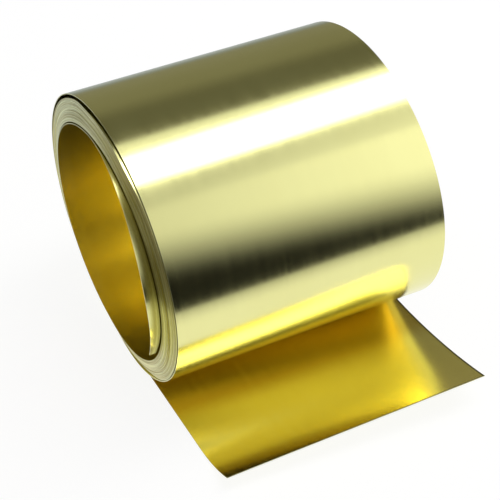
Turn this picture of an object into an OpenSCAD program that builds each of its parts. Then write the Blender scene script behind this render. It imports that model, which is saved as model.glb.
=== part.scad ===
// Roll of brass sheet, lying on its side with the loose end of the sheet run out in front.
// One strip of sheet is wound into a thin-walled ring. The outermost turn leaves the ring at
// its lowest line and runs forward over the ground as a flat tail that lifts at its free edge.
// The turns have slipped a little along the axis, so the inner ones stand out at the left end
// and lie back at the right end, and the innermost one leans out of the left end. The whole
// roll has been pushed askew as well, so its ends lean a few degrees off the square.
//
// Frame: millimetres, +Z up, +X along the axis of the roll, -Y towards the free edge of the
// tail. The origin is the middle of the bore, so the ground is one outside radius below it.

/* [Roll] */
// width of the sheet, which is the length of the roll
roll_w = 100; // [40:1:300]
// diameter of the open bore
bore_d = 87.4; // [40:0.2:200]
// thickness of all the wound turns together
wound_t = 9.5; // [4:0.1:40]
// thickness of the sheet
sheet_t = 0.3; // [0.2:0.05:1]

/* [Lean of the ends] */
// lean of the left end off the square to the axis
left_lean = 2.5; // [0:0.1:6]
// lean of the right end off the square to the axis
right_lean = 4.1; // [0:0.1:6]
// place where both ends stand furthest to the right, from the bottom up the near side
lean_place = 78; // [0:1:180]

/* [Turns seen on the ends] */
// number of turns drawn on each end
turns_drawn = 13; // [4:1:24]
// depth of the groove between two turns
groove_deep = 0.5; // [0.2:0.1:2]
// how far the inner turns have slipped towards the left end, against the outermost one
slip = 1.7; // [0:0.1:5]

/* [Loose outer turn] */
// widest gap between the outermost turn and the turns below it
loose_gap = 1.2; // [0.4:0.1:3]
// how deep the gap reaches in from each end
loose_deep = 9; // [2:0.5:15]

/* [Inner turn] */
// how far the innermost turn stands out of the left end at its furthest point
inner_proud = 3.9; // [1:0.1:8]
// lean of that turn against the axis of the roll
inner_lean = 6.5; // [4:0.5:12]
// place of its furthest point, from the bottom of the bore up the near side
inner_place = 105; // [80:5:140]
// place of its free end, from the bottom of the bore up the near side
inner_end = 62; // [30:1:75]
// wall of the turn that stands out
inner_t = 0.6; // [0.3:0.1:2]

/* [Tail] */
// distance from the lowest line of the roll to the free edge, at the middle of the sheet
tail_reach = 80.5; // [60:0.5:160]
// part of that distance that lies flat
tail_flat = 38.6; // [20:0.2:50]
// radius of the lift at the free edge
curl_r = 100; // [80:1:250]
// turn of the line where the lift begins, so that the right corner stands higher
curl_slant = 2.7; // [0:0.1:6]
// turn of the tail to the right, off the square to the axis
tail_skew = 4.7; // [0:0.1:6]
// how far the tail sits to the right where it leaves the roll
tail_shift = 1.2; // [0:0.1:3]
// slant of the free edge, off the square to the edges of the tail
edge_slant = 6.9; // [0:0.1:10]

/* [Hidden] */
$fn = 96;
bore_r = bore_d / 2;
outer_r = bore_r + wound_t;
end_x = roll_w / 2;
// the cuts and the added walls reach this far past or into the solid they belong to
over = 2;
// plain end of the outermost turns, which carries the root of the tail
land = 3 * sheet_t;
drawn_t = wound_t - land;
pitch = drawn_t / turns_drawn;
// shares of the pitch where the crest of a turn ends and where its groove is deepest
crest_end = 0.72;
groove_low = 0.86;
// the tail leaves the ring this far above the ground line, half a sheet, and settles on it
lift = sheet_t / 2;
// flats that make up the lift at the free edge
curl_steps = 12;
// the curled sheet is made past its free edge and behind its root, and its plan trims it
root_spare = end_x * tan(curl_slant) + over;
edge_spare = end_x * (tan(edge_slant) + tan(curl_slant)) + over;
curl_angle = asin(min(0.95, (tail_reach + edge_spare - tail_flat) / curl_r));
// the inner cylinder of the loose gap is shifted down by the first share of the gap and is
// smaller by the second, and the gap ends this far below the axis, where it is a hairline
gap_shift = 0.6 * loose_gap;
gap_less = 0.4 * loose_gap;
gap_foot = 0.4 * outer_r;
// the solid round bar that the roll is cut from stands this far past both of its ends
spare = slip + outer_r * tan(max(left_lean, right_lean)) + over;
// how far the leaning left end swings to either side at the bore
bore_swing = bore_r * tan(left_lean);
// how far the innermost turn stands out past, and reaches in behind, the square left end
inner_reach = slip + inner_proud - bore_swing * cos(inner_place - lean_place);
inner_root = bore_swing + groove_deep + over;
// side of the block that cuts with one face
block = 4 * outer_r;

// slip of the turn at radius r towards the left end
function slipped(r) = slip * (outer_r - land - r) / drawn_t;

// crest, groove and next crest of each drawn turn from the bore outwards, as [radius, depth]
function turn_points() = [
    for (k = [0 : turns_drawn - 1])
        for (p = [[crest_end, 0], [groove_low, groove_deep], [1, 0]])
            [bore_r + pitch * (k + p[0]), p[1]]
];

// outline of what is cut away past one end, from inside the bore outwards. way is 1 at the
// right end and -1 at the left end, and all heights are measured from the plain outer turn.
function waste_points(way) = concat(
    [[bore_r - over, way * 2 * spare], [bore_r - over, -slipped(bore_r - over)]],
    [for (p = turn_points()) [p[0], -slipped(p[0]) - way * p[1]]],
    [[outer_r + over, 0], [outer_r + over, way * 2 * spare]]
);

// lays a shape made round Z along the axis of the roll
module along_axis() {
    rotate([0, 90, 0]) children();
}

// turned cutter that leaves the end of the roll with its turns, leaning by the angle given
module end_waste(way, lean) {
    translate([way * end_x, 0, 0])
        rotate([-lean_place, 0, 0])
        rotate([0, -lean, 0])
        along_axis()
        rotate_extrude()
        polygon(waste_points(way));
}

// round bar as thick as the roll, with its turned and leaning ends
module wound_bar() {
    difference() {
        translate([-end_x - spare, 0, 0])
            along_axis()
            cylinder(r = outer_r, h = roll_w + 2 * spare);
        end_waste(-1, left_lean);
        end_waste(1, right_lean);
    }
}

// the bore runs through the bar and the innermost turn alike
module bore() {
    translate([-roll_w, 0, 0])
        along_axis()
        cylinder(r = bore_r, h = 2 * roll_w);
}

// crescent gap under the outermost turn, widest at the top, that ends as a hairline
module crescent(depth) {
    difference() {
        cylinder(r = outer_r - sheet_t, h = depth);
        translate([gap_shift, 0, -over])
            cylinder(r = outer_r - sheet_t - gap_less, h = depth + 2 * over);
        translate([gap_foot, -block / 2, -over])
            cube([block, block, depth + 2 * over]);
    }
}

module loose_gaps() {
    for (middle = [-end_x, end_x])
        translate([middle - loose_deep, 0, 0]) along_axis() crescent(2 * loose_deep);
}

// the innermost turn where it stands out of the left end: a thin arc of wall that begins at
// the free end of the sheet, cut by a plane that leans with the turn
module inner_turn() {
    arc = 2 * (180 - inner_place) + (inner_place - inner_end);
    difference() {
        translate([-end_x - inner_reach, 0, 0])
            along_axis()
            rotate([0, 0, -inner_end - arc])
            rotate_extrude(angle = arc)
            translate([bore_r - over, 0, 0])
            square([inner_t + over, inner_reach + inner_root]);
        rotate([-inner_place, 0, 0])
            translate([-end_x - inner_reach, 0, -bore_r])
            rotate([0, inner_lean, 0])
            translate([-block, -block / 2, -block / 2])
            cube(block);
    }
}

// one face of the sheet in front of the roll, out past the free edge, as [y, height]; h is the
// height above the underside
function tail_face(h) = concat(
    [[root_spare, h]],
    [for (i = [0 : curl_steps])
        let (a = curl_angle * i / curl_steps)
        [-tail_flat - (curl_r - h) * sin(a), curl_r - (curl_r - h) * cos(a)]]
);

// section of the tail: its underside out to the free edge, and its upper face back
function tail_points() = concat(
    tail_face(0),
    [for (i = [curl_steps + 1 : -1 : 0]) tail_face(sheet_t)[i]]
);

// plan of the tail, from the lowest line of the roll to the slanting free edge
function tail_plan() =
    let (more = end_x * tan(edge_slant))
    [[-end_x, 0], [end_x, 0], [end_x, -tail_reach - more], [-end_x, more - tail_reach]];

// flat run of the sheet in front of the roll, with the lift at its free edge
module tail() {
    rotate([0, 0, tail_skew])
        translate([tail_shift, 0, lift - outer_r])
        intersection() {
            rotate([0, 0, curl_slant])
                translate([-roll_w, 0, 0])
                rotate([90, 0, 90])
                linear_extrude(2 * roll_w)
                polygon(tail_points());
            translate([0, 0, -over])
                linear_extrude(curl_r)
                polygon(tail_plan());
        }
}

// the turned bar with its loose gaps, and the innermost turn that stands out of it
module wound_turns() {
    difference() {
        wound_bar();
        loose_gaps();
    }
    inner_turn();
}

// the whole sheet: all the turns with the bore through them, and the tail
module brass_sheet() {
    color([0.84, 0.72, 0.34])
    union() {
        difference() {
            wound_turns();
            bore();
        }
        tail();
    }
}

brass_sheet();
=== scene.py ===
# %% [markdown]
# # A roll of thin brass sheet
# The object is one strip of brass sheet, 100 mm wide and 0.3 mm thick, wound about 28 times
# round an open bore. It lies on its side on a table. The outermost turn leaves the roll at its
# lowest line and runs forward over the table as a flat tail that curls up at its free edge.
# The lesson winds that strip as one closed mesh, so that every line on the end of the roll is
# the real edge of a real turn, and then gives the metal its rolled finish. A stack of rings
# would be quicker to make, but it has no free ends, and nothing would lead over into the tail.

import bpy
import numpy as np
from mathutils import Matrix


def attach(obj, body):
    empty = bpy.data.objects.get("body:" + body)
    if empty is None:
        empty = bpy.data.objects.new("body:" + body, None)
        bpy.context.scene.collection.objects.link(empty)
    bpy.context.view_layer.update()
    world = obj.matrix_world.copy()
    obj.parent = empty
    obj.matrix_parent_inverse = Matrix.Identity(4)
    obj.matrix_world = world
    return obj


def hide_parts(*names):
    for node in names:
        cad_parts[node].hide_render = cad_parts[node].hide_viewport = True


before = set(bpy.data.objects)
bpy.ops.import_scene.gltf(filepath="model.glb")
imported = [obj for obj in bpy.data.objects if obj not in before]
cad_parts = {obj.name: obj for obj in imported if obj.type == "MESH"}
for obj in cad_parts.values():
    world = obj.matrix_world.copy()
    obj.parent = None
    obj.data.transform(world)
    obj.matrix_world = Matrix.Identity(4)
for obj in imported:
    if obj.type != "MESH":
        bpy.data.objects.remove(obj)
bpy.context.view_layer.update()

# %% [markdown]
# ## The camera
# The camera stands to the left of the roll and well above it, so the left end, the outside and
# the tail all show. Its place comes from matching the outlines of both ends, and it is written
# as an azimuth, an elevation, a small roll and a distance from a point near the roll. A place
# and three turns would do as well, but these words can be changed one at a time.

# %% Camera
MM = 0.001
PICTURE_SIDE = 500
SENSOR = 36.0


def set_up_camera(azimuth, elevation, roll, distance, target, focal_px):
    """A camera that looks at target (mm) from distance (mm), with its focal length in pixels."""
    az, el, tilt = np.radians([azimuth, elevation, roll])
    back = np.array([-np.sin(az) * np.cos(el), -np.cos(az) * np.cos(el), np.sin(el)])
    level = np.cross([0.0, 0.0, 1.0], back)
    level /= np.linalg.norm(level)
    upright = np.cross(back, level)
    side = np.cos(tilt) * level + np.sin(tilt) * upright
    top = np.cos(tilt) * upright - np.sin(tilt) * level
    place = (np.array(target) + distance * back) * MM
    data = bpy.data.cameras.new("roll_camera")
    data.sensor_width = SENSOR
    data.lens = focal_px * SENSOR / PICTURE_SIDE
    data.clip_start, data.clip_end = 0.01, 50.0
    camera = bpy.data.objects.new("roll_camera", data)
    bpy.context.scene.collection.objects.link(camera)
    columns = np.column_stack([side, top, back, place])
    camera.matrix_world = Matrix([list(row) for row in columns] + [[0.0, 0.0, 0.0, 1.0]])
    bpy.context.scene.camera = camera
    print("camera at", np.round(place, 3), "metres, lens", round(data.lens, 1), "mm")


set_up_camera(
    azimuth=25.5,
    elevation=45.0,
    roll=0.2,
    distance=531.4,
    target=(4.05, 0.0, -27.96),
    focal_px=1415.0,
)

# %% [markdown]
# ## The sheet and its turns
# Winding a strip is easiest to describe from its root, the line where it leaves the roll at the
# bottom. From there the angle `turn` grows inwards, once round for every 360 degrees: up the far
# side, over the top at 180 and down the near side. Each turn lies one pitch inside the last. The
# sheet is drawn 99.6 mm wide, a little under its trade width, because the outline fits better.

# %% Size of the sheet and of the roll
SHEET_W = 99.6
SHEET_T = 0.3
GROUND = -53.2
OUTER_MID = -GROUND - SHEET_T / 2
PITCH = 0.312
FULL_TURNS = 27
FREE_END = 296.0
LAST_TURN = 360.0 * FULL_TURNS + FREE_END
print("the strip ends after", round(LAST_TURN / 360.0, 2), "turns")

# %% Soft steps and humps


def smooth(x):
    """A soft step from 0 to 1."""
    x = np.clip(x, 0.0, 1.0)
    return x * x * (3.0 - 2.0 * x)


def hump(degrees):
    """A soft hump: 1 at 0 degrees, and 0 from 90 degrees outwards."""
    return np.cos(np.radians(np.clip(degrees, -90.0, 90.0))) ** 2


def from_place(turn, place):
    """Degrees from a place on the roll, between -180 and 180."""
    return (turn - place + 180.0) % 360.0 - 180.0


# %% [markdown]
# ## The winding line
# The outermost turn is loose, so it stands off the tight turns below it. The crescent gap
# between them opens over the whole upper half and bulges just before the top. The innermost
# turn has nothing inside that holds it, and has come away from its neighbour by 0.7 mm. Both
# are changes of one radius, so the strip stays in one piece.

# %% The line that the sheet follows round the roll
TIGHT_FROM = 330.0
LOOSE_GAP = 1.2
GAP_ALL_ROUND = 0.35
GAP_PLACE = 152.0
INNER_GAP = 0.7
# degrees before the free end where the innermost turn starts to come away, and over how many
AWAY_FROM, AWAY_OVER = 240.0, 140.0


def wound_line(turn):
    """Radius (mm) of the middle of the sheet at each angle, in degrees from the root."""
    first = np.clip(turn / 360.0, 0.0, 1.0) ** 4
    later = np.maximum(turn / 360.0, 1.0)
    radius = OUTER_MID - PITCH * np.where(turn < 360.0, first, later)
    up = 0.5 - 0.5 * np.cos(np.radians(turn))
    bulge = hump(1.6 * from_place(turn, GAP_PLACE))
    share = GAP_ALL_ROUND * up + (1.0 - GAP_ALL_ROUND) * bulge
    radius -= LOOSE_GAP * share * smooth((turn - TIGHT_FROM) / 60.0)
    return radius - INNER_GAP * smooth((turn - LAST_TURN + AWAY_FROM) / AWAY_OVER)


print("innermost turn, middle of the sheet:", wound_line(np.array([LAST_TURN])).round(2), "mm")

# %% [markdown]
# ## How the turns have slipped
# A roll that has been opened and pushed together is never quite true. The tight turns stand out
# of the left end, first with a small step where they leave the loose turn, and then bit by bit
# up to two millimetres at the bore. Each is off by a slightly different amount, which is what
# draws the fine lines on the end. The numbers for that come from a seeded generator, so the roll
# is the same each time.

# %% Slip of the tight turns
SLIP, NEAR_SLIP = 1.7, 0.3
NEAR_STEP, TOP_STEP = 0.2, 0.8
# the step near the top: its place, half its width and the width of its soft ends, in degrees
STEP_PLACE, STEP_HALF, STEP_SOFT = 186.0, 34.0, 20.0
WANDER_STEP = 90.0
rng = np.random.default_rng(28)
wander = rng.normal(0.0, 0.09, 4 * (FULL_TURNS + 3))
wander += np.repeat(rng.normal(0.0, 0.10, FULL_TURNS + 3), 4)
print("the turns wander by up to", np.abs(wander).max().round(2), "mm")


def near_side(turn):
    """1 on the near side of the roll, 0 on the far side."""
    return smooth(0.3 - 1.4 * np.sin(np.radians(turn)))


def slipped(turn):
    """How far the tight turns have slipped towards the left end (mm)."""
    near = near_side(turn)
    near_top = smooth((STEP_HALF - np.abs(from_place(turn, STEP_PLACE))) / STEP_SOFT)
    step = NEAR_STEP * near + TOP_STEP * near_top
    at_once = smooth((turn - TIGHT_FROM) / 90.0)
    bit_by_bit = np.clip((turn - 360.0) / (LAST_TURN - 360.0), 0.0, 1.0)
    return step * at_once + (SLIP + NEAR_SLIP * near - step) * bit_by_bit ** (1.5 - 0.5 * near)


def uneven(turn):
    """How far each turn is off (mm), less so on the far side."""
    knots = np.arange(len(wander)) * WANDER_STEP
    return np.interp(turn, knots, wander) * (0.4 + 0.6 * near_side(turn))


# %% [markdown]
# ## Where the left edge lies
# Three more shifts are seen on the left end. The sheet drifts to the right where it leaves the
# roll, the outer tight turns lie further right at the bottom, and the innermost turn has crept
# out by four millimetres just before its free end. All of them only move the edge along the
# axis, so they add up in one function.

# %% Place of the left edge of the sheet along the axis
LEFT_END = -49.6
ROOT_DRIFT = 1.58
LOW_DRIFT = 2.4
LOW_DRIFT_FADES = 2200.0
CREEP = 4.25
CREEP_PLACE = 38.0


def left_edge(turn):
    """Where the left edge of the sheet lies along the axis (mm), for each angle from the root."""
    drift = ROOT_DRIFT * np.clip((90.0 - turn) / 90.0, 0.0, 1.0) ** 2
    at_once = smooth((turn - TIGHT_FROM) / 90.0)
    low = hump(1.3 * from_place(turn, 0.0))
    drift += at_once * LOW_DRIFT * low * np.exp(-turn / LOW_DRIFT_FADES)
    creep = hump(0.95 * (LAST_TURN - turn - CREEP_PLACE))
    return LEFT_END + drift - slipped(turn) - at_once * uneven(turn) - CREEP * creep


print("left edge at the free end:", left_edge(np.array([LAST_TURN])).round(1), "mm")

# %% [markdown]
# ## Ends that lean
# The whole roll has been pushed askew as well. Its ends aren't square to the axis: on the near
# side both stand a few millimetres further to the right than at the back, the right end more
# than the left. That is also why the tail runs off at a slight angle. Low down, the tight turns
# stand out of the right end by another 1.3 mm.

# %% Lean of the two ends
LEFT_LEAN = (2.41, -0.05)
RIGHT_LEAN = (3.7, 1.55)
RIGHT_LOW = 1.3
RIGHT_LOW_PLACE = 345.0
RIGHT_LOW_FROM, RIGHT_LOW_OVER = 285.0, 30.0


def leaning(turn, radius, lean):
    """How far the end of the roll lies to the right (mm): lean is its amount near and low."""
    angle = np.radians(turn)
    share = radius / OUTER_MID
    return share * (lean[1] * np.cos(angle) - lean[0] * np.sin(angle))


def right_low(turn):
    """How much further the tight turns stand out of the right end low down (mm)."""
    low = hump(1.5 * from_place(turn, RIGHT_LOW_PLACE))
    return RIGHT_LOW * low * smooth((turn - RIGHT_LOW_FROM) / RIGHT_LOW_OVER)


# %% [markdown]
# ## The flared edge of the innermost turn
# Near its free end, the innermost turn has been bent outwards along its left edge, by less than
# a millimetre over the first five. So small a bend hardly shows as a shape, but in polished
# metal it turns the reflection: the strip that stands out of the roll mirrors the ring beside it
# and looks dark gold, where a straight strip would mirror the white room.

# %% Flare, and the points of the wound sheet
FLARE = 0.8
FLARED_PART = 0.05
# degrees from the free end where the bend starts and ends, and how softly
FLARE_STARTS, SOFT_START = 6.0, 18.0
FLARE_ENDS, SOFT_END = 90.0, 8.0


def flared(turn, across):
    """Outward bend (mm) of the innermost edge: one row for each angle, one column a share."""
    back = LAST_TURN - turn
    along = smooth((back - FLARE_STARTS) / SOFT_START) * smooth((FLARE_ENDS - back) / SOFT_END)
    return FLARE * (along[:, None] * np.clip(1.0 - across / FLARED_PART, 0.0, 1.0)[None, :])


def wound_points(turn, across):
    """Middle of the sheet on the roll: one row for each angle, one column for each share."""
    radius = wound_line(turn)
    edge = left_edge(turn)
    left = edge + leaning(turn, radius, LEFT_LEAN)
    right = edge + SHEET_W + leaning(turn, radius, RIGHT_LEAN)
    right += right_low(turn)
    x = left[:, None] * (1 - across)[None, :] + right[:, None] * across[None, :]
    radius = radius[:, None] + flared(turn, across)
    angle = np.radians(turn)[:, None]
    return np.stack([x, radius * np.sin(angle), -radius * np.cos(angle)], -1)


# %% [markdown]
# ## The tail
# The tail lies flat and then lifts, sharply at its left edge and gently at its right edge. Each
# edge is a straight run and an arc, and the sheet between them is ruled straight across, as a
# thin sheet bends only one way at a time.

# %% Left and right edges of the tail
# length of the edge, how much of it lies flat, and the radius of the lift, in mm
LEFT_RUN = (79.4, 59.0, 35.2)
RIGHT_RUN = (83.7, 10.7, 199.9)
LEFT_SKEW, RIGHT_SKEW = 0.082, 0.055


def lifting_edge(share, run):
    """Distance forward and height (mm) along one edge of the tail."""
    whole, flat, radius = run
    length = whole * share
    angle = np.clip((length - flat) / radius, 0.0, None)
    forward = np.where(length < flat, length, flat + radius * np.sin(angle))
    return forward, radius * (1 - np.cos(angle))


def tail_points(share, across):
    """Middle of the sheet on the tail: share runs from 0 at the root to 1 at the free edge."""
    lies = GROUND + SHEET_T / 2
    root = wound_points(np.array([0.0]), np.array([0.0, 1.0]))[0, :, 0]
    edges = []
    for start, skew, run in zip(root, (LEFT_SKEW, RIGHT_SKEW), (LEFT_RUN, RIGHT_RUN)):
        forward, rise = lifting_edge(share, run)
        edge = np.stack([start + skew * forward, -forward, lies + rise], -1)
        edges.append(edge[:, None, :])
    left, right = edges
    return left * (1 - across)[None, :, None] + right * across[None, :, None]


# %% [markdown]
# ## Rows and columns
# The strip is laid out as rows along its length and columns across its width. The outermost
# turn and the tail are seen large, so they get many columns, and the turns under them only a
# few, because there only the edges show. The columns crowd at the edges, where the sheet needs
# to stay crisp.

# %% Rows and columns
FINE = np.array([0, 0.002, 0.005, 0.015, *np.linspace(0.05, 0.95, 19), 0.985, 0.995, 0.998, 1])
FEW = np.array([0.0, 0.005, 0.05, 0.5, 0.995, 1.0])
FEW_IN_FINE = [int(np.abs(FINE - share).argmin()) for share in FEW]
SWITCH = 450.0
ROW_STEP = 3.75
TAIL_ROWS = 85
outer_turn = np.concatenate(
    [np.arange(0.0, 360.0, 1.0), np.arange(360.0, SWITCH + 0.1, ROW_STEP)]
)
inner_turns = np.arange(SWITCH + ROW_STEP, LAST_TURN - 1.0, ROW_STEP)
inner_turns = np.concatenate([inner_turns, [LAST_TURN]])
tail_share = np.linspace(1.0, 0.0, TAIL_ROWS + 1)[:-1]
outside_turn = np.concatenate([0.0 * tail_share, outer_turn])
outside = np.concatenate([tail_points(tail_share, FINE), wound_points(outer_turn, FINE)])
inside = wound_points(inner_turns, FEW)
print(len(outside), "rows on the outside,", len(inside), "rows inside")
print("tail corners in mm", outside[0, 0].round(1), outside[0, -1].round(1))

# %% [markdown]
# ## Two faces a thickness apart
# Half the thickness is added on one side of the middle and taken off on the other. Inside the
# roll the sheet is drawn a hairline thinner than it is, so that each turn parts from the next
# and a dark line shows between them. Each point also notes its place in the plan of the sheet,
# as if it were unrolled: that plan is the map that the finish is laid on.

# %% Points on the two faces of the sheet
HAIRLINE = 0.045


def face_normals(grid):
    """Unit normal at each point of a grid of points, pointing out of the roll."""
    along = np.gradient(grid, axis=0)
    over = np.gradient(grid, axis=1)
    normal = np.cross(along, over)
    return normal / np.linalg.norm(normal, axis=-1, keepdims=True)


def thickness(turn):
    """Thickness (mm) that is drawn: a hairline less inside the roll, so that the turns part."""
    return SHEET_T - HAIRLINE * smooth((turn - 360.0) / 90.0)


left_line = np.concatenate([outside[:, 0], inside[:, 0]])
steps = np.linalg.norm(np.diff(left_line, axis=0), axis=1)
unrolled = np.concatenate([[0.0], np.cumsum(steps)])
points, plan, numbers = [], [], []
for grid, turn, columns, part in (
    (outside, outside_turn, FINE, unrolled[: len(outside)]),
    (inside, inner_turns, FEW, unrolled[len(outside) :]),
):
    half = face_normals(grid) * thickness(turn)[:, None, None] * 0.5
    along, over = np.meshgrid(part, columns * SHEET_W, indexing="ij")
    for face in (grid + half, grid - half):
        start = sum(len(rows) for rows in points)
        numbers.append(start + np.arange(along.size).reshape(along.shape))
        points.append(face.reshape(-1, 3))
        plan.append(np.stack([over, along], -1).reshape(-1, 2))
outer_fine, inner_fine, outer_few, inner_few = numbers
print(sum(len(rows) for rows in points), "points, sheet", unrolled[-1].round(), "mm long")

# %% [markdown]
# ## Closing the mesh
# Four-sided cells fill both faces. Where the many columns of the outside meet the few of the
# inside, one face takes several points of the finer row, so no gap is left. The four cut edges
# close the strip: its left and right side, its free edge in front and its end in the bore. The
# kind of each face picks its finish later.

# %% Faces of the strip
BRIGHT_FACE, GOLD_FACE, CUT_EDGE = 0, 1, 2


def cells(grid, flip):
    """Four-sided faces between the rows and columns of a grid of point numbers."""
    a, b, c, d = grid[:-1, :-1], grid[1:, :-1], grid[1:, 1:], grid[:-1, 1:]
    order = (d, c, b, a) if flip else (a, b, c, d)
    return np.stack(order, -1).reshape(-1, 4).tolist()


def joining(fine_row, few_row, flip):
    """Faces between a row with many columns and the next one, which has few."""
    faces = []
    for j, (a, b) in enumerate(zip(FEW_IN_FINE[:-1], FEW_IN_FINE[1:])):
        ring = few_row[j : j + 2].tolist() + fine_row[a : b + 1][::-1].tolist()
        faces.append(ring[::-1] if flip else ring)
    return faces


def cut_side(column, flip):
    """Faces along one side of the whole strip, from the outer to the inner face."""
    outer = np.concatenate([outer_fine[:, column], outer_few[:, column]])
    inner = np.concatenate([inner_fine[:, column], inner_few[:, column]])
    return cells(np.stack([inner, outer], 1), flip)


patches = [
    (cells(outer_fine, False), BRIGHT_FACE),
    (cells(inner_fine, True), GOLD_FACE),
    (cells(outer_few, False), BRIGHT_FACE),
    (cells(inner_few, True), GOLD_FACE),
    (joining(outer_fine[-1], outer_few[0], False), BRIGHT_FACE),
    (joining(inner_fine[-1], inner_few[0], True), GOLD_FACE),
    (cut_side(0, True), CUT_EDGE),
    (cut_side(-1, False), CUT_EDGE),
    (cells(np.stack([outer_fine[0], inner_fine[0]], 0), True), CUT_EDGE),
    (cells(np.stack([outer_few[-1], inner_few[-1]], 0), False), CUT_EDGE),
]
print(sum(len(faces) for faces, kind in patches), "faces in", len(patches), "patches")

# %% The mesh and its object
PLAN = "plan_of_the_sheet"
SHARP_FROM = 50.0


def strip_mesh(name):
    """The whole strip as one closed mesh, with its plan in metres as a UV map."""
    faces = [face for some, kind in patches for face in some]
    kinds = [kind for some, kind in patches for face in some]
    mesh = bpy.data.meshes.new(name)
    mesh.from_pydata((np.concatenate(points) * MM).tolist(), [], faces)
    mesh.polygons.foreach_set("material_index", kinds)
    mesh.polygons.foreach_set("use_smooth", [True] * len(faces))
    corner = np.zeros(len(mesh.loops), np.int32)
    mesh.loops.foreach_get("vertex_index", corner)
    layer = mesh.uv_layers.new(name=PLAN)
    layer.data.foreach_set("uv", (np.concatenate(plan) * MM)[corner].astype(np.float32).ravel())
    mesh.validate()
    mesh.update()
    mesh.set_sharp_from_angle(angle=np.radians(SHARP_FROM))
    print(name, "has", len(mesh.vertices), "points and", len(mesh.polygons), "faces")
    return mesh


brass_roll = bpy.data.objects.new("brass_roll", strip_mesh("brass_roll"))
bpy.context.scene.collection.objects.link(brass_roll)

# %% [markdown]
# ## Helpers for the metal's nodes
# All the finishes and the studio are made of the same few steps: a node with some of its sockets
# set, a noise that is stretched in the plan of the sheet, and a soft ramp. The noise is laid in
# the plan and not in space, so its lines follow the sheet round the roll and out on the tail.

# %% Nodes, noise and ramps


def node(tree, kind, **sockets):
    """A new node of one kind, with some of its sockets set; From_Min stands for From Min."""
    made = tree.nodes.new("ShaderNode" + kind)
    for socket, value in sockets.items():
        made.inputs[socket.replace("_", " ")].default_value = value
    return made


def link(tree, source, target):
    """A line from the output of one node to the input of another."""
    tree.links.new(source, target)


def plan_of_the_sheet(tree):
    """Place in the unrolled sheet, in metres across and along."""
    plan_map = node(tree, "UVMap")
    plan_map.uv_map = PLAN
    return plan_map.outputs["UV"]


def plan_noise(tree, across, along, detail=2.0):
    """Noise stretched in the plan of the sheet: across and along are in features per metre."""
    mapping = node(tree, "Mapping", Scale=(across, along, 1.0))
    noise = node(tree, "TexNoise", Scale=1.0, Detail=detail)
    noise.noise_dimensions = "2D"
    link(tree, plan_of_the_sheet(tree), mapping.inputs["Vector"])
    link(tree, mapping.outputs["Vector"], noise.inputs["Vector"])
    return noise.outputs["Fac"]


def spread(tree, value, low, high):
    """Maps the middle of a noise value to the range low to high."""
    scaled = node(tree, "MapRange", From_Min=0.3, From_Max=0.7, To_Min=low, To_Max=high)
    link(tree, value, scaled.inputs["Value"])
    return scaled.outputs["Result"]


def added(tree, a, b):
    """The sum of two values."""
    total = node(tree, "Math")
    total.operation = "ADD"
    link(tree, a, total.inputs[0])
    link(tree, b, total.inputs[1])
    return total.outputs["Value"]


def graded(tree, value, stops, span):
    """A soft ramp of colours: stops are (place, colour), for a value that runs over span."""
    scaled = node(tree, "MapRange", From_Min=span[0], From_Max=span[1])
    ramp = node(tree, "ValToRGB")
    ramp.color_ramp.interpolation = "EASE"
    marks = ramp.color_ramp.elements
    while len(marks) < len(stops):
        marks.new(0.5)
    for mark, (place, colour) in zip(marks, stops):
        mark.position = (place - span[0]) / (span[1] - span[0])
        mark.color = (*colour, 1.0)
    link(tree, value, scaled.inputs["Value"])
    link(tree, scaled.outputs["Result"], ramp.inputs["Fac"])
    return ramp.outputs["Color"]


def two_tones(tree, clean, toned, factor):
    """A cloudy mix of two linear colours."""
    tone = node(tree, "Mix")
    tone.data_type = "RGBA"
    tone.inputs["A"].default_value = (*clean, 1.0)
    tone.inputs["B"].default_value = (*toned, 1.0)
    link(tree, factor, tone.inputs["Factor"])
    return tone.outputs["Result"]


# %% [markdown]
# ## Painted shade near the root and along two edges
# Close to the roll the gold face of the tail looks browner than reflections alone would make it,
# so a band of painted shade is laid there, with soft ends. The shears and the slitting knives
# leave a burr on the gold face, too fine for the mesh; the shade on it is painted as a thin dark
# line along its free edge and its right edge. Both are bands in the plan of the sheet, so one
# helper makes them.

# %% Darker bands on the sheet
# places in metres where a band begins, is full, is still full and ends
# painted shade: a browner band on the tail close to the roll
PAINTED_ROOT_SHADE = (0.031, 0.041, 0.085, 0.11)
# painted shade: thin dark lines along the free edge and the right edge, the shade on the burr
FREE_EDGE_SHADE_LINE = (-0.001, -0.0001, 0.0002, 0.0005)
RIGHT_EDGE_SHADE_LINE = (0.0988, 0.0991, 0.1, 0.101)
EDGE_SHADE_TONE = (0.25, 0.25, 0.25)


def darkened(tree, colour, axis, places, shade_tone):
    """The colour with a darker band, whose places run across (X) or along (Y) the sheet."""
    split = node(tree, "SeparateXYZ")
    link(tree, plan_of_the_sheet(tree), split.inputs["Vector"])
    stops = [(place, (tone,) * 3) for place, tone in zip(places, (0.0, 1.0, 1.0, 0.0))]
    band = graded(tree, split.outputs[axis], stops, (places[0], places[-1]))
    darker = node(tree, "Mix")
    darker.data_type = "RGBA"
    darker.blend_type = "MULTIPLY"
    darker.inputs["B"].default_value = (*shade_tone, 1.0)
    link(tree, band, darker.inputs["Factor"])
    link(tree, colour, darker.inputs["A"])
    return darker.outputs["Result"]


# %% [markdown]
# ## The rolled finish
# Sheet comes out of the rolling mill with a bright face that is drawn out lengthwise by the
# polished rolls: very fine lines run along the strip, and the sheen wavers a little from place
# to place. The outside of this roll shows a pale greenish yellow, and the inside of the sheet a
# deeper gold. The lines go into the roughness and a faint bump, and the colour only clouds a
# little, because real lines this fine are seen by their gloss.

# %% Rolled faces
CLOUDS = (28.0, 16.0, 3.0)
ROLLED_LINES = (5200.0, 55.0)
WIDE_LINES = (420.0, 6.0)
LINE_GLOSS, WIDE_GLOSS = 0.02, 0.012


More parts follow.
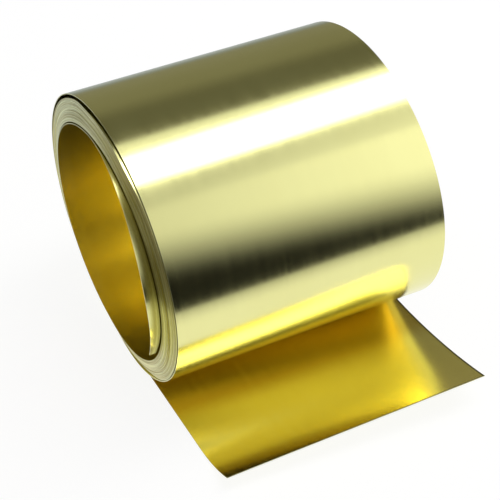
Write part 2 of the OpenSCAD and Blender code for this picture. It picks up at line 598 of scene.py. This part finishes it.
def rolled_brass(name, clean, toned, roughness, shade_tone=None):
    """Bright rolled brass: clean and toned are linear colours, roughness its middle value."""
    material = bpy.data.materials.new(name)
    material.use_nodes = True
    tree = material.node_tree
    metal = tree.nodes["Principled BSDF"]
    metal.inputs["Metallic"].default_value = 1.0
    cloud = spread(tree, plan_noise(tree, *CLOUDS), 0.0, 1.0)
    colour = two_tones(tree, clean, toned, cloud)
    # painted shade: a browner band near the roll, and thin dark lines along two edges
    if shade_tone:
        colour = darkened(tree, colour, "Y", PAINTED_ROOT_SHADE, shade_tone)
        colour = darkened(tree, colour, "Y", FREE_EDGE_SHADE_LINE, EDGE_SHADE_TONE)
        colour = darkened(tree, colour, "X", RIGHT_EDGE_SHADE_LINE, EDGE_SHADE_TONE)
    link(tree, colour, metal.inputs["Base Color"])
    lines = plan_noise(tree, *ROLLED_LINES)
    wide_lines = plan_noise(tree, *WIDE_LINES)
    gloss = spread(tree, lines, roughness - LINE_GLOSS, roughness + LINE_GLOSS)
    wide_gloss = spread(tree, wide_lines, -WIDE_GLOSS, WIDE_GLOSS)
    link(tree, added(tree, gloss, wide_gloss), metal.inputs["Roughness"])
    bump = node(tree, "Bump", Strength=0.05, Distance=0.00001)
    link(tree, lines, bump.inputs["Height"])
    link(tree, bump.outputs["Normal"], metal.inputs["Normal"])
    print(name, "is ready")
    return material


# %% [markdown]
# ## The slit edges
# The strip was cut to width by slitting knives. They leave an edge that is duller than the
# faces, pale where it is clean and brown where the cut has torn or gathered dirt. On the end of
# the roll these edges lie side by side, so their slow change in tone draws the streaks that run
# round the ring.

# %% Slit edges
EDGE_STREAKS = (25.0, 5.0, 3.0)
KNIFE_MARKS = (900.0, 1500.0)


def slit_edge(name, clean, toned):
    """Edge left by the slitting knives: duller, with short marks across the thickness."""
    material = bpy.data.materials.new(name)
    material.use_nodes = True
    tree = material.node_tree
    metal = tree.nodes["Principled BSDF"]
    metal.inputs["Metallic"].default_value = 1.0
    streaks = spread(tree, plan_noise(tree, *EDGE_STREAKS), -0.3, 1.3)
    link(tree, two_tones(tree, clean, toned, streaks), metal.inputs["Base Color"])
    marks = plan_noise(tree, *KNIFE_MARKS)
    link(tree, spread(tree, marks, 0.34, 0.5), metal.inputs["Roughness"])
    print(name, "is ready")
    return material


# %% [markdown]
# ## Dressing the roll
# The three finishes go on in the order of the kinds of face: outer face, inner face, cut edge.
# The roll then rides on the one body of the model and stands for the turned solid, which stays
# in the physics model.

# %% Finishes, and a place in the frame
for finish in (
    rolled_brass("outer_face_brass", (0.84, 0.82, 0.37), (0.82, 0.795, 0.35), 0.17),
    # the inner face carries the painted shade; its tone near the roll is (0.80, 0.71, 0.5)
    rolled_brass(
        "inner_face_brass", (0.98, 0.86, 0.28), (0.96, 0.84, 0.26), 0.21, (0.80, 0.71, 0.5)
    ),
    slit_edge("slit_edge_brass", (0.85, 0.85, 0.48), (0.48, 0.42, 0.16)),
):
    brass_roll.data.materials.append(finish)

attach(brass_roll, "root")
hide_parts("brass_sheet")

# %% [markdown]
# ## The table
# A polished metal shows what stands round it, so the light is built like a studio for metal. The
# roll lies on a white table top that ends a hand's breadth in front of the tail. What the camera
# and the metal see of it is a glow with the roll's shadow on it. The glow fades at the front
# edge, so the mirror image of the table ends softly on the roll, and not in a hard line.

# %% Table top
TABLE = (-0.45, 0.55, -0.2, 0.45)
GLOW_FULL_FROM = -0.135
GLOW_AT_EDGE, GLOW = 0.4, 0.85


def level_corners(x0, x1, y0, y1, z):
    """Corners of a level rectangle, in metres."""
    return [(x0, y0, z), (x1, y0, z), (x1, y1, z), (x0, y1, z)]


def stage_piece(name, corners):
    """One rectangle of the studio with a new and empty material, and the tree of its nodes."""
    mesh = bpy.data.meshes.new(name)
    mesh.from_pydata(corners, [], [(0, 1, 2, 3)])
    piece = bpy.data.objects.new(name, mesh)
    bpy.context.scene.collection.objects.link(piece)
    material = bpy.data.materials.new(name)
    material.use_nodes = True
    material.node_tree.nodes.clear()
    mesh.materials.append(material)
    print(name, "is in the studio")
    return piece, material.node_tree


def seen_directly(tree):
    """1 where a ray comes from the camera, a glossy or a clear surface."""
    path = node(tree, "LightPath")
    total = added(tree, path.outputs["Is Camera Ray"], path.outputs["Is Glossy Ray"])
    return added(tree, total, path.outputs["Is Transmission Ray"])


def table_top():
    """A white table that glows where it is seen, and still takes the roll's shadow."""
    tree = stage_piece("table_top", level_corners(*TABLE, GROUND * MM))[1]
    place = node(tree, "TexCoord")
    split = node(tree, "SeparateXYZ")
    fade = node(
        tree,
        "MapRange",
        From_Min=TABLE[2],
        From_Max=GLOW_FULL_FROM,
        To_Min=GLOW_AT_EDGE,
        To_Max=GLOW,
    )
    glow = node(tree, "Emission")
    link(tree, place.outputs["Object"], split.inputs["Vector"])
    link(tree, split.outputs["Y"], fade.inputs["Value"])
    link(tree, fade.outputs["Result"], glow.inputs["Strength"])
    shaded = node(tree, "BsdfDiffuse", Color=(0.2, 0.2, 0.2, 1.0))
    seen = node(tree, "AddShader")
    link(tree, shaded.outputs["BSDF"], seen.inputs[0])
    link(tree, glow.outputs["Emission"], seen.inputs[1])
    card = node(tree, "BsdfDiffuse", Color=(0.8, 0.8, 0.8, 1.0))
    pick = node(tree, "MixShader")
    link(tree, seen_directly(tree), pick.inputs["Fac"])
    link(tree, card.outputs["BSDF"], pick.inputs[1])
    link(tree, seen.outputs["Shader"], pick.inputs[2])
    out = node(tree, "OutputMaterial")
    link(tree, pick.outputs["Shader"], out.inputs["Surface"])


table_top()

# %% [markdown]
# ## Cards that only the metal sees
# Everything that gives polished brass its shape is a reflection, so each part of the roll gets
# something to mirror. The near side mirrors a card in front, dark low down and pale high up, and
# above it a pale ceiling. The top of the roll mirrors a grey card and a grey sheet behind it.
# The left end and the bore mirror brownish cards at the left, which keep the gold deep. No card
# is seen by the camera or lights the table, so the table stays white.

# %% How a card is made
WHITE = (1.0, 1.0, 1.0)


def along_line(tree, direction):
    """How far a point lies along a direction, in metres."""
    place = node(tree, "TexCoord")
    dot = node(tree, "VectorMath")
    dot.operation = "DOT_PRODUCT"
    dot.inputs[1].default_value = direction
    link(tree, place.outputs["Object"], dot.inputs[0])
    return dot.outputs["Value"]


def studio_card(name, corners, stops, direction, span, tint=WHITE, gain=None):
    """A card with a graded tone: stops are (place, tone) along direction, over span in metres.

    gain is (direction, place, factor, place, factor), for a second and gentler grading."""
    card, tree = stage_piece(name, corners)
    stops = [(place, tuple(tone * part for part in tint)) for place, tone in stops]
    glow = node(tree, "Emission")
    tones = graded(tree, along_line(tree, direction), stops, span)
    link(tree, tones, glow.inputs["Color"])
    if gain:
        factor = node(tree, "MapRange")
        for socket, value in zip(("From Min", "To Min", "From Max", "To Max"), gain[1:]):
            factor.inputs[socket].default_value = value
        link(tree, along_line(tree, gain[0]), factor.inputs["Value"])
        link(tree, factor.outputs["Result"], glow.inputs["Strength"])
    out = node(tree, "OutputMaterial")
    link(tree, glow.outputs["Emission"], out.inputs["Surface"])
    card.visible_camera = card.visible_diffuse = card.visible_shadow = False


# %% Cards in front
FRONT_Y = -0.6
CEILING = 0.95
CARD_FOOT = -0.6
BACKWARDS, UPWARDS = (0.0, 1.0, 0.0), (0.0, 0.0, 1.0)


def front_corners(x0, x1):
    """Corners of a card that stands in front, from below the table up to the ceiling."""
    foot = [(x0, FRONT_Y, CARD_FOOT), (x1, FRONT_Y, CARD_FOOT)]
    return foot + [(x1, FRONT_Y, CEILING), (x0, FRONT_Y, CEILING)]


studio_card(
    "dark_card_in_front",
    front_corners(-0.08, 1.6),
    [(0.11, 0.01), (0.15, 0.05), (0.2, 0.19), (0.26, 0.42), (0.32, 0.64), (0.38, 0.85), (0.46, 1)],
    direction=(0.707, 0.0, 0.707),
    span=(0.0, 0.6),
    gain=((1.0, 0.0, -0.25), 0.0, 0.8, 0.3, 1.26),
)
studio_card(
    "dark_card_at_the_left",
    front_corners(-1.6, -0.08),
    [(0.3, 0.08), (0.65, 0.1), (0.95, 0.12)],
    direction=UPWARDS,
    span=(0.0, 1.0),
    tint=(1.0, 0.84, 0.5),
)
studio_card(
    "grey_ceiling_in_front",
    level_corners(-0.1, 1.6, FRONT_Y, -0.23, CEILING),
    [(0.1, 0.8), (0.34, 0.68), (0.42, 0.6), (0.52, 0.76), (0.62, 0.87), (0.72, 0.95), (0.83, 1.04)],
    direction=(0.8, -0.5, 0.0),
    span=(0.0, 1.0),
)

# %% Cards behind and at the left
BACK_Y = 0.38
studio_card(
    "grey_card_behind",
    [(-1.0, 0.8, -0.2), (1.8, 0.8, -0.2), (1.8, BACK_Y, CEILING), (-1.0, BACK_Y, CEILING)],
    [(0.0, 0.24), (0.3, 0.22), (0.55, 0.125), (0.95, 0.115)],
    direction=UPWARDS,
    span=(0.0, 1.0),
    tint=(1.0, 0.96, 0.75),
)
studio_card(
    "grey_ceiling_at_the_left",
    level_corners(-1.6, -0.1, FRONT_Y, BACK_Y, CEILING),
    [(-0.5, 0.1), (-0.2, 0.2), (0.3, 0.25)],
    direction=BACKWARDS,
    span=(-0.6, 0.4),
    tint=(1.0, 0.86, 0.5),
)
studio_card(
    "grey_sheet_behind",
    level_corners(-0.4, 0.6, 0.1, 0.45, -0.052),
    [(0.1, 0.95), (0.15, 0.7), (0.24, 0.42), (0.38, 0.27)],
    direction=BACKWARDS,
    span=(0.0, 0.5),
    tint=(0.92, 1.0, 1.15),
)

# %% [markdown]
# ## The long soft light
# The white band along the roll is the image of one long soft light above it, a little to the
# back. It is turned by 14 degrees, so the band runs slightly askew over the roll, and it is wide
# enough that its edges blur. A smaller lamp would give a narrow streak and a hard shadow.

# %% Long soft light above


def soft_light(name, place, size, turned, radiance):
    """A lamp that shines straight down: size in metres, turned in degrees seen from above."""
    data = bpy.data.lights.new(name, "AREA")
    data.shape = "RECTANGLE"
    data.size, data.size_y = size
    data.energy = radiance * np.pi * size[0] * size[1]
    lamp = bpy.data.objects.new(name, data)
    lamp.location = place
    lamp.rotation_euler = (0.0, 0.0, np.radians(turned))
    bpy.context.scene.collection.objects.link(lamp)
    print(name, "gives", round(data.energy, 2), "watts")


soft_light(
    "long_soft_light", place=(0.58, 0.055, 0.95), size=(1.3, 0.41), turned=14.0, radiance=2.8
)

# %% [markdown]
# ## The white room
# All round stands a plain room. It lights the table at half strength, so that nothing there
# clips, and the camera and the metal see it as full white. The two are told apart by the kind
# of ray, which keeps the background white without more light on the object.

# %% White room
ROOM_LEVEL = 0.5


def white_room(level):
    """A room at one plain level, which the camera and the metal see as white."""
    world = bpy.data.worlds.new("white_room")
    bpy.context.scene.world = world
    world.use_nodes = True
    tree = world.node_tree
    tree.nodes.clear()
    plain = node(tree, "Background", Color=(*WHITE, 1.0), Strength=level)
    white = node(tree, "Background", Color=(*WHITE, 1.0), Strength=1.0)
    pick = node(tree, "MixShader")
    out = node(tree, "OutputWorld")
    link(tree, seen_directly(tree), pick.inputs["Fac"])
    link(tree, plain.outputs["Background"], pick.inputs[1])
    link(tree, white.outputs["Background"], pick.inputs[2])
    link(tree, pick.outputs["Shader"], out.inputs["Surface"])
    print("the room lights the roll at", level)


white_room(ROOM_LEVEL)
bpy.context.scene.view_settings.view_transform = "Standard"
